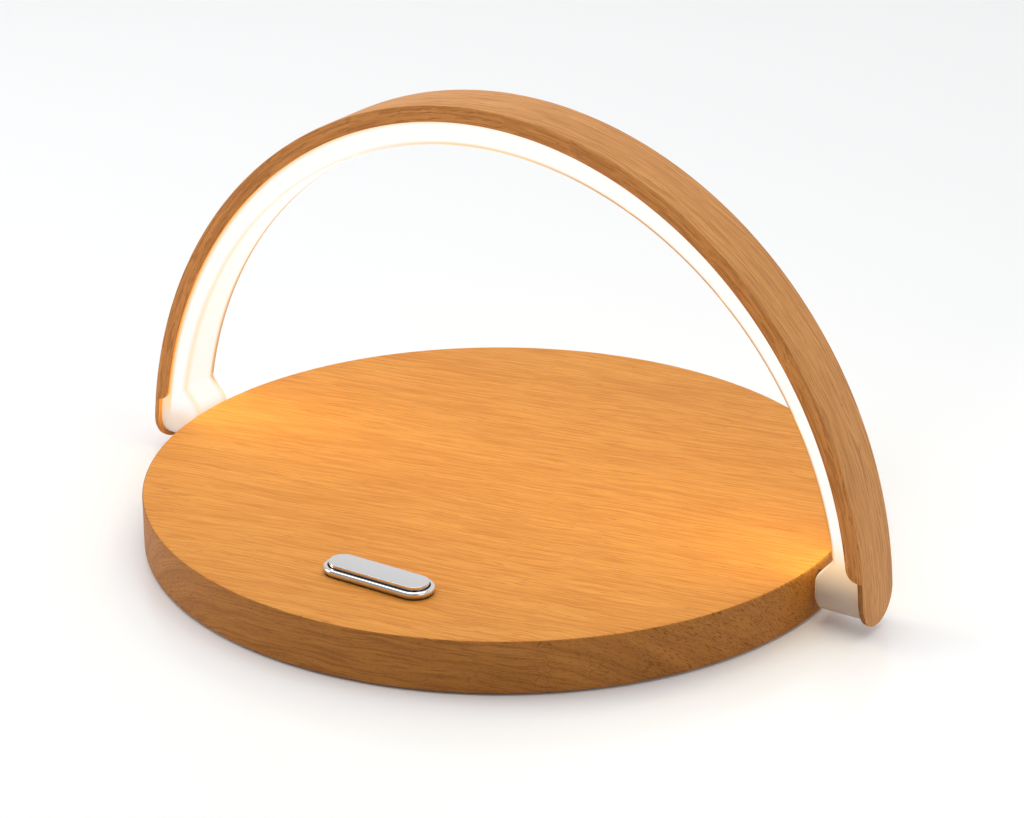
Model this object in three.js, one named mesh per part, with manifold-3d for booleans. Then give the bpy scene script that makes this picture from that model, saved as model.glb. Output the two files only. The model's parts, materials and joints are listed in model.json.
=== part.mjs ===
// Round wireless charging pad with a folding arch light, in millimetres.
// +X is the hinge axis of the arch, -Y the front with the key, +Z up; the origin is on the floor
// below the middle of the disc.
import * as THREE from "three";
import { mergeVertices } from "three/addons/utils/BufferGeometryUtils.js";
import Module from "manifold-3d";

const wasm = await Module();
wasm.setup();

// ---- Clearances ----
const seatGap = 0.3; // between pieces that are fastened together
const runGap = 0.1; // radial, between a shaft and what it turns in
const trimGap = 0.1; // under the key bezel's flange

// ---- Disc ----
const discRadius = 100;
const discHeight = 14.7;
const footProud = 0.6; // how far the feet stand out below the disc
const topThickness = 2.4;
const rimWall = 3.2;
const edgeRound = 0.5;
const plateThickness = 2;
const plateRecess = 0.4; // bottom plate above the disc's lower edge

// ---- Hinge ----
const hingeBelowTop = 4.75; // hinge axis below the disc's top
const shaftRadius = 2;
const shaftWall = 0.9;
const collarLip = 0.9; // collar, washers and nut stand out of the shaft by this much
const bushWall = 0.9;
const bushFlange = 0.7; // how far its outer flange stands out, and how thick it is
const bracketWall = 1.5;
const bracketInset = 6; // bracket's upright inside the rim's inner face
const bracketHalfWidth = 6;
const bracketFootLength = 12;
const bracketFootHalfWidth = 11;
const nutLength = 2.8;
const washerThickness = 0.8;

// ---- Arch ----
const archFloorGap = 1.64; // between the round ends of the band and the floor
const hubGap = 2.2; // between the disc's rim and the end faces of the hubs
const hubLength = 15.05; // from a hub's end face to the outside of the band
const foldGap = 3.8; // between the rim and the folded arch
const bandDepthTop = 10.3; // outside of the wood to the light's inner face, at the apex
const bandDepthSide = 9; // the same, beside the hinges
const archDrop = 10.2; // centre of the arch's ellipse below the hinge axis
const skinThickness = 1.5;
const lipDepth = 4.6; // how far the wooden side lips reach inwards
const lipWall = 1;
const lipEndAboveAxis = 5.8;
const lipEndRound = 3.2;
const diffuserWall = 1.4;
const flareStart = 2.6; // height above the axis where a hub starts to narrow into the band
const flareRise = 7.6; // height over which it narrows
const carrierThickness = 0.8;
const stripThickness = 0.3;
const stripInset = 1.9; // strip's edges inside the carrier's
const ledCount = 32;
const ledSize = [2.8, 3.5, 0.7];
const insertRadius = 4.8;
const insertInset = 3; // metal inserts inside the hubs' end faces
const leadRadius = 0.5;

// ---- Key ----
const keyLength = 33.2;
const keyWidth = 10.8;
const keyRim = 1.5; // bezel outline to cap outline
const keyX = 9.1;
const keyFromCentre = 72.8;
const bezelHeight = 2.2;
const capHeight = 3.2;
const keyTravel = 0.8;
const collarWall = 0.5;
const capFlange = 0.6;
const switchSize = 6;
const switchHeight = 1.6;
const plungerRadius = 1.6;

// ---- Charging coil and electronics ----
const coilRadius = 25;
const coilHole = 10;
const coilThickness = 1;
const ferriteRadius = 28;
const ferriteThickness = 0.8;
const holderThickness = 1;
const holderEars = 3;
const earReach = 6.5; // ear centres outside the ferrite sheet
const earRadius = 3;
const standoffHeight = 1.2;
const standoffRadius = 2.4;
const boardThickness = 1;
const boardHalfLength = 27;
const boardDepth = 30;
const inletWidth = 8.94;
const inletHeight = 3.26;
const inletLength = 8.2;
const inletWall = 0.3;
const inletRecess = 0.7; // mouth of the receptacle inside the rim

// ---- Fasteners and feet ----
const screwRadius = 0.95;
const screwHeadRadius = 2;
const screwHeadHeight = 1.1;
const footRadius = 7;
const footInset = 16.8; // foot centres inside the rim's inner face
const footAngles = [45, 135, 225, 315];
const plateScrewInset = 8.8;
const plateScrewAngles = [60, 120, 240, 300];

// ---- Heights and places worked out from the sizes above ----
const underZ = footProud;
const topZ = underZ + discHeight;
const ceilingZ = topZ - topThickness;
const innerRadius = discRadius - rimWall;
const plateZ = underZ + plateRecess;
const plateTopZ = plateZ + plateThickness;
const hingeZ = topZ - hingeBelowTop;
const collarRadius = shaftRadius + collarLip;
const pocketCeilingZ = hingeZ + collarRadius + 0.4;
const bandHalfWidth = hingeZ - archFloorGap;
const diffuserHalfWidth = bandHalfWidth - lipWall - seatGap;
const hubFaceX = discRadius + hubGap;
const bandOuterX = hubFaceX + hubLength;
const archB = discRadius + foldGap + bandDepthTop + archDrop;
const archA = bandOuterX / Math.sqrt(1 - (archDrop / archB) ** 2);
const screwHole = screwRadius + seatGap;
const boardZ = plateTopZ + standoffHeight + seatGap;
const boardTopZ = boardZ + boardThickness;
const chipZ = boardTopZ + seatGap;
const boardRearY = Math.sqrt((innerRadius - 1) ** 2 - boardHalfLength ** 2);
const bracketX = innerRadius - bracketInset;
const nutX = bracketX - bracketWall - washerThickness - 2 * seatGap;
const shaftStartX = nutX - nutLength - 2;
const insertX = hubFaceX + insertInset;
const footFromCentre = innerRadius - footInset;
const plateScrewFromCentre = innerRadius - plateScrewInset;

const RIM_SEGMENTS = 72;
const SMALL_SEGMENTS = 16;
const SHAFT_SEGMENTS = 20;
const ARCH_STEPS = 56;
const deg = THREE.MathUtils.degToRad;

// ---- Solids ----
function solid(geometry) {
  const bare = geometry.clone();
  bare.deleteAttribute("normal");
  bare.deleteAttribute("uv");
  const merged = mergeVertices(bare, 1e-4);
  return new wasm.Manifold(
    new wasm.Mesh({
      numProp: 3,
      vertProperties: merged.attributes.position.array,
      triVerts: new Uint32Array(merged.index.array),
    }),
  );
}

const join = (...solids) => solids.reduce((a, b) => a.add(b));
const cut = (body, ...tools) => tools.reduce((a, b) => a.subtract(b), body);

function box(x0, x1, y0, y1, z0, z1) {
  const g = new THREE.BoxGeometry(x1 - x0, y1 - y0, z1 - z0);
  return solid(g.translate((x0 + x1) / 2, (y0 + y1) / 2, (z0 + z1) / 2));
}

function post(radius, z0, z1, x = 0, y = 0, segments = SMALL_SEGMENTS) {
  const g = new THREE.CylinderGeometry(radius, radius, z1 - z0, segments);
  return solid(g.rotateX(Math.PI / 2).translate(x, y, (z0 + z1) / 2));
}

function rod(radius, x0, x1, z = 0, segments = SHAFT_SEGMENTS) {
  const g = new THREE.CylinderGeometry(radius, radius, x1 - x0, segments);
  return solid(g.rotateZ(Math.PI / 2).translate((x0 + x1) / 2, 0, z));
}

// Turned solid from [radius, height] corners, listed anticlockwise.
function turned(corners, segments) {
  const profile = [...corners, corners[0]].map(([r, z]) => new THREE.Vector2(r, z));
  return solid(new THREE.LatheGeometry(profile, segments).rotateX(Math.PI / 2));
}

function extruded(points, depth) {
  const shape = new THREE.Shape(points.map(([x, y]) => new THREE.Vector2(x, y)));
  return new THREE.ExtrudeGeometry(shape, { depth, bevelEnabled: false, steps: 1 });
}

// Points of a pill outline, long axis along x.
function pillPoints(length, width, steps = 10) {
  const r = width / 2;
  const ends = [1, -1].flatMap((side) =>
    Array.from({ length: steps + 1 }, (_, i) => {
      const a = -Math.PI / 2 + (Math.PI * i) / steps;
      return [side * (length / 2 - r + r * Math.cos(a)), side * r * Math.sin(a)];
    }),
  );
  return ends;
}

function pill(length, width, z0, z1) {
  return solid(extruded(pillPoints(length, width), z1 - z0).translate(0, 0, z0));
}

// The same pill pushed through the rear rim, its long axis level.
function pillAlongY(length, width, y0, y1, z) {
  const g = extruded(pillPoints(length, width), y1 - y0).rotateX(Math.PI / 2);
  return solid(g.translate(0, y1, z));
}

// A round lead through the given points.
function lead(points, steps) {
  const curve = new THREE.CatmullRomCurve3(points.map((p) => new THREE.Vector3(...p)));
  const section = new THREE.Shape().absarc(0, 0, leadRadius, 0, 2 * Math.PI);
  const options = { steps, curveSegments: 4, extrudePath: curve, bevelEnabled: false };
  return solid(new THREE.ExtrudeGeometry(section, options));
}

// ---- Materials ----
function finish(color, roughness, metalness = 0, extra = {}) {
  return new THREE.MeshStandardMaterial({ color, roughness, metalness, ...extra });
}

const oak = finish(0xdf9c58, 0.5);
const archOak = finish(0xc98d55, 0.55);
const opal = finish(0xfff4e2, 0.4, 0, { emissive: 0xffe2b8, emissiveIntensity: 0.9 });
const chrome = finish(0xe6e6e6, 0.12, 1);
const blackPlastic = finish(0x2a2a2c, 0.6);
const whitePlastic = finish(0xe8e6e0, 0.5);
const rubber = finish(0x3a3a3c, 0.9);
const steel = finish(0xb8babd, 0.35, 1);
const bronze = finish(0xb08a4e, 0.4, 1);
const copper = finish(0xb87333, 0.35, 1);
const ferrite = finish(0x35353a, 0.8);
const circuitBoard = finish(0x1f6b46, 0.55);
const chipBlack = finish(0x1b1b1d, 0.5);
const aluminium = finish(0xcfd2d4, 0.4, 1);

const charger = new THREE.Group();
charger.name = "charging_pad_with_arch_light";

function group(parent, x = 0, y = 0, z = 0, turn = 0) {
  const g = new THREE.Group();
  g.position.set(x, y, z);
  g.rotation.z = turn;
  parent.add(g);
  return g;
}

function piece(parent, name, body, material, x = 0, y = 0, z = 0) {
  const made = body.getMesh();
  const geometry = new THREE.BufferGeometry();
  geometry.setAttribute("position", new THREE.BufferAttribute(made.vertProperties, 3));
  geometry.setIndex(new THREE.BufferAttribute(made.triVerts, 1));
  geometry.computeVertexNormals();
  const mesh = new THREE.Mesh(geometry, material);
  mesh.name = name;
  mesh.position.set(x, y, z);
  parent.add(mesh);
  return mesh;
}

// A pan-head screw with a hexagon socket; its head's underside is at 0 and its shank points down.
function screw(shankLength) {
  const head = post(screwHeadRadius, 0, screwHeadHeight, 0, 0, 12);
  const shank = post(screwRadius, -shankLength, 0.2, 0, 0, 8);
  const recess = post(screwHeadRadius * 0.5, screwHeadHeight * 0.5, screwHeadHeight + 1, 0, 0, 6);
  return cut(join(head, shank), recess);
}

// The places on a circle about the disc's middle, at angles in degrees from +X.
function around(radius, angles) {
  return angles.map((a) => [radius * Math.cos(deg(a)), radius * Math.sin(deg(a))]);
}

const base = group(charger);
const key = group(charger, keyX, -keyFromCentre);
const arch = group(charger, 0, 0, hingeZ);
const footPlaces = around(footFromCentre, footAngles);
const plateScrewPlaces = around(plateScrewFromCentre, plateScrewAngles);
const earAngles = Array.from({ length: holderEars }, (_, i) => 90 + (360 / holderEars) * i);
const earPlaces = around(ferriteRadius + earReach, earAngles);
const boardFrontY = boardRearY - boardDepth;
const boardScrewPlaces = [
  [-(boardHalfLength - 3), boardRearY - 4],
  [boardHalfLength - 3, boardFrontY + 3],
];
const keyBoardHalf = [keyLength / 2 - 1.5, keyWidth / 2 - 0.8];
const keyScrewX = keyBoardHalf[0] - 2.6;
const bracketScrewX = bracketX - bracketWall - bracketFootLength + 5;
const bracketScrewY = bracketFootHalfWidth - 3;
const bracketScrewLength = 2.7;
const leadPlugX = boardHalfLength - 10;
const inletZ = chipZ + inletHeight / 2;
const inletMouthY = discRadius - inletRecess;

// ---- Coil pack, hung under the ceiling ----
const coilZ = ceilingZ - seatGap - coilThickness;
const ferriteZ = coilZ - seatGap - ferriteThickness;
const holderZ = ferriteZ - seatGap - holderThickness;

function coilPack() {
  const coil = cut(post(coilRadius, 0, coilThickness, 0, 0, 48), post(coilHole, -1, 2, 0, 0, 32));
  piece(base, "charging_coil", coil, copper, 0, 0, coilZ);
  const sheet = post(ferriteRadius, 0, ferriteThickness, 0, 0, 48);
  piece(base, "ferrite_sheet", sheet, ferrite, 0, 0, ferriteZ);

  const ears = earPlaces.map(([x, y]) => post(earRadius, 0, holderThickness, x, y));
  const arms = earAngles.map((a) => {
    const arm = box(coilRadius, ferriteRadius + earReach, -earRadius, earRadius, 0, holderThickness);
    return arm.rotate([0, 0, a]);
  });
  const plate = join(post(ferriteRadius + 1, 0, holderThickness, 0, 0, 48), ...ears, ...arms);
  const holes = earPlaces.map(([x, y]) => post(screwHole, -1, 3, x, y, 16));
  const window = post(coilHole, -1, 3, 0);
  piece(base, "coil_holder", cut(plate, window, ...holes), whitePlastic, 0, 0, holderZ);
  earPlaces.forEach(([x, y], i) => {
    const made = screw(3.6).rotate([180, 0, 0]);
    piece(base, `coil_screw_${i + 1}`, made, steel, x, y, holderZ - trimGap);
  });
}

// ---- Wooden cover: a turned shell with a key slot, hinge bores and the inlet's slot ----
function baseCover() {
  const shell = turned(
    [
      [0, ceilingZ],
      [innerRadius, ceilingZ],
      [innerRadius, underZ],
      [discRadius - edgeRound, underZ],
      [discRadius, underZ + edgeRound],
      [discRadius, topZ - edgeRound],
      [discRadius - edgeRound * 0.3, topZ - edgeRound * 0.3],
      [discRadius - edgeRound, topZ],
      [0, topZ],
    ],
    RIM_SEGMENTS,
  );
  const bossTop = ceilingZ + 0.5;
  const bossHoleTop = ceilingZ + 1;
  const bosses = [
    ...plateScrewPlaces.map(([x, y]) => post(3, plateTopZ + seatGap, bossTop, x, y, 16)),
    ...earPlaces.map(([x, y]) => post(2.6, holderZ + holderThickness + seatGap, bossTop, x, y, 16)),
  ];
  const bossHoles = [...plateScrewPlaces, ...earPlaces].map(([x, y]) =>
    post(screwHole, plateTopZ, bossHoleTop, x, y, 12),
  );
  const boreRadius = shaftRadius + runGap + bushWall + seatGap;
  const bore = rod(boreRadius, innerRadius - 2, discRadius + 2, hingeZ);
  const pocketHalf = bracketHalfWidth + 1;
  const pocket = box(
    shaftStartX - 1,
    innerRadius - 0.5,
    -pocketHalf,
    pocketHalf,
    ceilingZ - 1,
    pocketCeilingZ,
  );
  const slot = pill(
    keyLength - 2 * keyRim + 4 * seatGap + 2 * collarWall,
    keyWidth - 2 * keyRim + 4 * seatGap + 2 * collarWall,
    ceilingZ - 1,
    topZ + 1,
  ).translate([keyX, -keyFromCentre, 0]);
  const inlet = pillAlongY(
    inletWidth + 2 * seatGap,
    inletHeight + 2 * seatGap,
    innerRadius - 4,
    discRadius + 2,
    inletZ,
  );
  const openings = [bore, bore.rotate([0, 0, 180]), pocket, pocket.rotate([0, 0, 180])];
  const made = cut(join(shell, ...bosses), ...bossHoles, ...openings, slot, inlet);
  piece(base, "base_cover", made, oak);
}

// ---- Bottom plate with feet and screws ----
function bottomPlate() {
  const headSeatZ = plateZ + screwHeadHeight + 0.1;
  const plate = post(innerRadius - seatGap, plateZ, plateTopZ, 0, 0, RIM_SEGMENTS);
  const standoffPlaces = [
    ...boardScrewPlaces,
    [keyX - keyScrewX, -keyFromCentre],
    [keyX + keyScrewX, -keyFromCentre],
  ];
  const standoffs = standoffPlaces.map(([x, y]) =>
    post(standoffRadius, plateTopZ - 0.5, plateTopZ + standoffHeight, x, y),
  );
  const footPockets = footPlaces.map(([x, y]) =>
    post(footRadius + seatGap, plateZ - 1, plateZ + 0.9, x, y, SHAFT_SEGMENTS),
  );
  const screwHoles = plateScrewPlaces.flatMap(([x, y]) => [
    post(screwHole, plateZ - 1, plateTopZ + 1, x, y, 12),
    post(screwHeadRadius + seatGap, plateZ - 1, headSeatZ, x, y, 16),
  ]);
  const pilotPlaces = [
    ...standoffPlaces,
    ...[1, -1].flatMap((x) => [1, -1].map((y) => [x * bracketScrewX, y * bracketScrewY])),
  ];
  const pilots = pilotPlaces.map(([x, y]) =>
    post(screwHole, plateZ + 0.6, plateTopZ + standoffHeight + 1, x, y, 12),
  );
  const made = cut(join(plate, ...standoffs), ...footPockets, ...screwHoles, ...pilots);
  piece(base, "bottom_plate", made, blackPlastic);

  const footTop = plateZ + 0.9 - seatGap;
  const foot = turned(
    [
      [0, 0],
      [footRadius - 0.4, 0],
      [footRadius, 0.4],
      [footRadius, footTop],
      [0, footTop],
    ],
    32,
  );
  footPlaces.forEach(([x, y], i) => piece(base, `foot_${i + 1}`, foot, rubber, x, y));
  plateScrewPlaces.forEach(([x, y], i) => {
    const made = screw(5).rotate([180, 0, 0]);
    piece(base, `plate_screw_${i + 1}`, made, steel, x, y, headSeatZ - trimGap);
  });
}

// ---- Main board with its parts and the inlet ----
function electronics() {
  const tabRear = Math.sqrt((innerRadius - 1.2) ** 2 - inletWidth ** 2);
  const outline = join(
    box(-boardHalfLength, boardHalfLength, boardFrontY, boardRearY, boardZ, boardTopZ),
    box(-inletWidth, inletWidth, boardRearY - 2, tabRear, boardZ, boardTopZ),
  );
  const holes = boardScrewPlaces.map(([x, y]) => post(screwHole, boardZ - 1, boardTopZ + 1, x, y, 16));
  piece(base, "main_board", cut(outline, ...holes), circuitBoard);
  boardScrewPlaces.forEach(([x, y], i) =>
    piece(base, `board_screw_${i + 1}`, screw(2.9), steel, x, y, boardTopZ + trimGap),
  );

  const inletBackY = inletMouthY - inletLength;
  const inner = [inletWidth - 2 * inletWall, inletHeight - 2 * inletWall];
  const can = cut(
    pillAlongY(inletWidth, inletHeight, inletBackY, inletMouthY, inletZ),
    pillAlongY(...inner, inletBackY + inletWall, inletMouthY + 1, inletZ),
  );
  piece(base, "inlet_socket", can, steel);
  const tongueBack = inletBackY + inletWall + seatGap;
  const blockX = inner[0] / 2 - 1;
  const blockZ = inner[1] / 2 - seatGap;
  const tongue = join(
    box(-blockX, blockX, tongueBack, tongueBack + 1.5, inletZ - blockZ, inletZ + blockZ),
    box(-3.3, 3.3, tongueBack + 1, inletMouthY - 1, inletZ - 0.35, inletZ + 0.35),
  );
  piece(base, "inlet_tongue", tongue, chipBlack);

  const middleY = (boardFrontY + boardRearY) / 2;
  const chip = (size, height) => box(-size, size, -size, size, 0, height);
  piece(base, "charger_chip", chip(3.5, 0.9), chipBlack, -8, middleY, chipZ);
  piece(base, "led_driver_chip", chip(2.5, 0.9), chipBlack, 6, middleY + 1, chipZ);
  const coilBody = join(chip(3, 1.2), post(2.6, 0.6, 2.6));
  piece(base, "power_inductor", coilBody, ferrite, 15, middleY, chipZ);
  const capacitor = box(-2.2, 2.2, -1.2, 1.2, 0, 2);
  [-1, 1].forEach((side, i) =>
    piece(base, `coil_capacitor_${i + 1}`, capacitor, bronze, -16, middleY + side * 2.5, chipZ),
  );
  const plug = cut(box(-3, 3, -2, 2, 0, 3), box(-2.2, 2.2, -3, 0.6, 0.8, 2.4));
  piece(base, "coil_connector", plug, whitePlastic, -leadPlugX, boardFrontY + 3, chipZ);
  piece(base, "light_connector", plug, whitePlastic, leadPlugX, boardFrontY + 3, chipZ);
}

// ---- Key: bezel, cap, tact switch and its board ----
function keyParts() {
  const capLength = keyLength - 2 * keyRim;
  const capWidth = keyWidth - 2 * keyRim;
  const holeLength = capLength + 2 * seatGap;
  const holeWidth = capWidth + 2 * seatGap;
  const collarBottom = ceilingZ - 0.6;
  const flangeTop = topZ + bezelHeight;
  const bezel = cut(
    join(
      pill(keyLength, keyWidth, topZ + trimGap, flangeTop - 0.4),
      pill(keyLength - 0.8, keyWidth - 0.8, flangeTop - 0.5, flangeTop),
      pill(holeLength + 2 * collarWall, holeWidth + 2 * collarWall, collarBottom, topZ + 0.5),
    ),
    pill(holeLength, holeWidth, collarBottom - 1, flangeTop + 1),
  );
  piece(key, "key_bezel", bezel, chrome);

  const boardLow = plateTopZ + standoffHeight + seatGap;
  const boardHigh = boardLow + 0.8;
  const switchLow = boardHigh + seatGap;
  const switchTop = switchLow + switchHeight;
  const plungerLow = switchTop - 0.4;
  const plungerTop = switchTop + 0.7;
  const skirtTop = collarBottom - seatGap;
  const skirtLow = skirtTop - 0.9;
  const cap = join(
    pill(capLength, capWidth, skirtTop - 0.1, topZ + capHeight),
    pill(capLength + 2 * capFlange, capWidth + 2 * capFlange, skirtLow, skirtTop),
    post(plungerRadius, plungerTop + seatGap, skirtTop, 0, 0, 16),
  );
  piece(key, "key_cap", cap, chrome);
  piece(key, "switch_plunger", post(plungerRadius, plungerLow, plungerTop), whitePlastic);

  const half = switchSize / 2;
  const well = post(plungerRadius + seatGap, plungerLow - keyTravel - 0.2, switchTop + 1);
  const housing = cut(box(-half, half, -half, half, switchLow, switchTop), well);
  piece(key, "tact_switch", housing, blackPlastic);
  const [bx, by] = keyBoardHalf;
  const holes = [-1, 1].map((s) => post(screwHole, boardLow - 1, boardHigh + 1, s * keyScrewX, 0, 16));
  piece(key, "key_board", cut(box(-bx, bx, -by, by, boardLow, boardHigh), ...holes), circuitBoard);
  [-1, 1].forEach((side, i) =>
    piece(key, `key_board_screw_${i + 1}`, screw(2.6), steel, side * keyScrewX, 0, boardHigh + trimGap),
  );
}

// ---- Hinge, one side; the left one is the same turned half round ----
function hingeSide(side, turn) {
  const still = group(base, 0, 0, 0, turn);
  const turning = group(arch, 0, 0, 0, turn);

  const uprightIn = bracketX - bracketWall;
  const footLow = plateTopZ + seatGap;
  const footHigh = footLow + 1.2;
  const bracket = cut(
    join(
      box(uprightIn, bracketX, -bracketHalfWidth, bracketHalfWidth, footLow, hingeZ),
      rod(collarRadius, uprightIn, bracketX, hingeZ),
      box(
        uprightIn - bracketFootLength,
        bracketX,
        -bracketFootHalfWidth,
        bracketFootHalfWidth,
        footLow,
        footHigh,
      ),
    ),
    rod(shaftRadius + runGap, uprightIn - 1, bracketX + 1, hingeZ),
    ...[1, -1].map((s) => post(screwHole, footLow - 1, footHigh + 1, bracketScrewX, s * bracketScrewY, 16)),
  );
  piece(still, `hinge_bracket_${side}`, bracket, steel);
  [1, -1].forEach((s, i) =>
    piece(
      still,
      `bracket_screw_${side}_${i + 1}`,
      screw(bracketScrewLength),
      steel,
      bracketScrewX,
      s * bracketScrewY,
      footHigh + trimGap,
    ),
  );
  const bushInner = shaftRadius + runGap;
  const flangeX = discRadius + trimGap;
  const bush = cut(
    join(
      rod(bushInner + bushWall, innerRadius - 0.8, flangeX + 0.5, hingeZ),
      rod(bushInner + bushWall + bushFlange, flangeX, flangeX + bushFlange, hingeZ),
    ),
    rod(bushInner, innerRadius - 2, flangeX + bushFlange + 1, hingeZ),
  );
  piece(still, `rim_bush_${side}`, bush, bronze);

  // The turning pieces, about the hinge axis.
  const collarX = bracketX + washerThickness + 2 * seatGap;
  const shaftEndX = bandOuterX - skinThickness - 4;
  const shaft = cut(
    join(rod(shaftRadius, shaftStartX, shaftEndX), rod(collarRadius, collarX, collarX + 1)),
    rod(shaftRadius - shaftWall, shaftStartX - 1, shaftEndX + 1),
  );
  piece(turning, `hinge_shaft_${side}`, shaft, steel);
  const washer = cut(
    rod(collarRadius, 0, washerThickness),
    rod(shaftRadius + seatGap, -1, washerThickness + 1),
  );
  piece(turning, `friction_washer_${side}`, washer, bronze, bracketX + seatGap);
  piece(turning, `spring_washer_${side}`, washer, steel, uprightIn - seatGap - washerThickness);
  const nut = cut(
    rod(collarRadius, 0, nutLength, 0, 6),
    rod(shaftRadius + seatGap, -1, nutLength + 1),
  );
  piece(turning, `hinge_nut_${side}`, nut, steel, nutX - nutLength);
  const insertEnd = bandOuterX - skinThickness - 2 * seatGap;
  const insert = cut(
    rod(insertRadius, insertX, insertEnd),
    rod(shaftRadius + seatGap, insertX - 1, insertEnd - 1),
    box(shaftEndX, insertEnd - 1, -1, 1, 0, insertRadius + 1),
  );
  piece(turning, `hub_insert_${side}`, insert, aluminium);
}

// ---- Arch ----
// Points of the ellipse that lies `depth` inside the band's outside, from one height above the
// hinge axis on the right to the same height on the left.
function bandCurve(depthSide, depthTop, fromHeight) {
  const a = archA - depthSide;
  const b = archB - depthTop;
  const start = Math.asin((fromHeight + archDrop) / b);
  return Array.from({ length: ARCH_STEPS + 1 }, (_, i) => {
    const t = start + ((Math.PI - 2 * start) * i) / ARCH_STEPS;
    return [a * Math.cos(t), b * Math.sin(t) - archDrop];
  });
}

// A solid between two outlines in the XZ plane, `halfWidth` to each side of it.
function band(points, low, high) {
  const g = extruded(points, high - low).rotateX(Math.PI / 2);
  return solid(g.translate(0, high, 0));
}

// Keeps what is above the axis, and rounds what hangs below it about the axis.
function roundEnds(body, radius) {
  const reach = bandOuterX + 20;
  const keep = join(
    box(-reach, reach, -radius, radius, 0, archB),
    rod(radius, -reach, reach, 0, 36),
  );
  return body.intersect(keep);
}

function archShell() {
  const outer = bandCurve(0, 0, -bandHalfWidth);
  const skinIn = bandCurve(skinThickness, skinThickness, -bandHalfWidth).reverse();
  const skin = roundEnds(
    band([...outer, ...skinIn], -bandHalfWidth, bandHalfWidth),
    bandHalfWidth,
  );
  const lipOut = bandCurve(0.3, 0.3, lipEndAboveAxis);
  const lipIn = bandCurve(lipDepth, lipDepth, lipEndAboveAxis + lipEndRound).reverse();
  const [cornerX] = bandCurve(lipDepth, lipDepth, lipEndAboveAxis)[0];
  const corner = (mirror) =>
    Array.from({ length: 7 }, (_, i) => {
      const a = (Math.PI / 2) * (i / 6);
      const x = cornerX + lipEndRound * (1 - Math.cos(a));
      return [mirror * x, lipEndAboveAxis + lipEndRound * (1 - Math.sin(a))];
    });
  const left = corner(-1).reverse();
  const right = corner(1);
  const outline = [...lipOut, ...left.slice(0, -1), ...lipIn, ...right.slice(1)];
  const lips = [
    band(outline, -bandHalfWidth, lipWall - bandHalfWidth),
    band(outline, bandHalfWidth - lipWall, bandHalfWidth),
  ];
  piece(arch, "arch_shell", join(skin, ...lips), archOak);
}

function lightDiffuser() {
  const r = diffuserHalfWidth;
  const depth = skinThickness + seatGap;
  const outer = bandCurve(depth, depth, -r);
  const inner = bandCurve(bandDepthSide, bandDepthTop, flareStart + flareRise).reverse();
  const outline = [
    ...outer,
    [-hubFaceX, -r],
    [-hubFaceX, flareStart],
    ...inner,
    [hubFaceX, flareStart],
    [hubFaceX, -r],
  ];
  const body = roundEnds(band(outline, -r, r), r);

  const ledStart = insertRadius + 2;
  const hollowSide = bandDepthSide - diffuserWall;
  const hollowTop = bandDepthTop - diffuserWall;
  const hollow = band(
    [...bandCurve(-1, -1, ledStart), ...bandCurve(hollowSide, hollowTop, ledStart).reverse()],
    diffuserWall - r,
    r - diffuserWall,
  );
  const socket = rod(insertRadius + seatGap, insertX - seatGap, bandOuterX + 1);
  const shaftBore = rod(shaftRadius + seatGap, hubFaceX - 1, insertX + 1);
  const slotX = bandOuterX - skinThickness - 4;
  const leadSlot = box(slotX - 0.5, slotX + 5, -1.2, 1.2, 0, ledStart + 1);
  const holes = [socket, shaftBore, leadSlot].flatMap((s) => [s, s.rotate([0, 0, 180])]);
  piece(arch, "light_diffuser", cut(body, hollow, ...holes), opal);
}

function ledLight() {
  const low = insertRadius + 3;
  const back = skinThickness + 2 * seatGap;
  const front = back + carrierThickness;
  const halfWidth = diffuserHalfWidth - diffuserWall - seatGap;
  const strap = band(
    [...bandCurve(back, back, low), ...bandCurve(front, front, low).reverse()],
    -halfWidth,
    halfWidth,
  );
  piece(arch, "led_carrier", strap, aluminium);

  const stripHalfWidth = halfWidth - stripInset;

  const tapeBack = front + seatGap;
  const tapeFront = tapeBack + stripThickness;
  const tapeStart = low + 1;
  const tape = band(
    [...bandCurve(tapeBack, tapeBack, tapeStart), ...bandCurve(tapeFront, tapeFront, tapeStart).reverse()],
    -stripHalfWidth,
    stripHalfWidth,
  );
  const a = archA - tapeFront;
  const b = archB - tapeFront;
  const first = Math.asin((tapeStart + archDrop + 3) / b);
  const [width, length, height] = ledSize;
  const leds = Array.from({ length: ledCount }, (_, i) => {
    const t = first + ((Math.PI - 2 * first) * i) / (ledCount - 1);
    const g = new THREE.BoxGeometry(height + stripThickness, width, length);
    g.translate(-height / 2, 0, 0);
    const normal = Math.atan2(Math.sin(t) / b, Math.cos(t) / a);
    return solid(g.rotateY(-normal).translate(a * Math.cos(t), 0, b * Math.sin(t) - archDrop));
  });
  piece(arch, "led_strip", join(tape, ...leds), whitePlastic);
}

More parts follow.
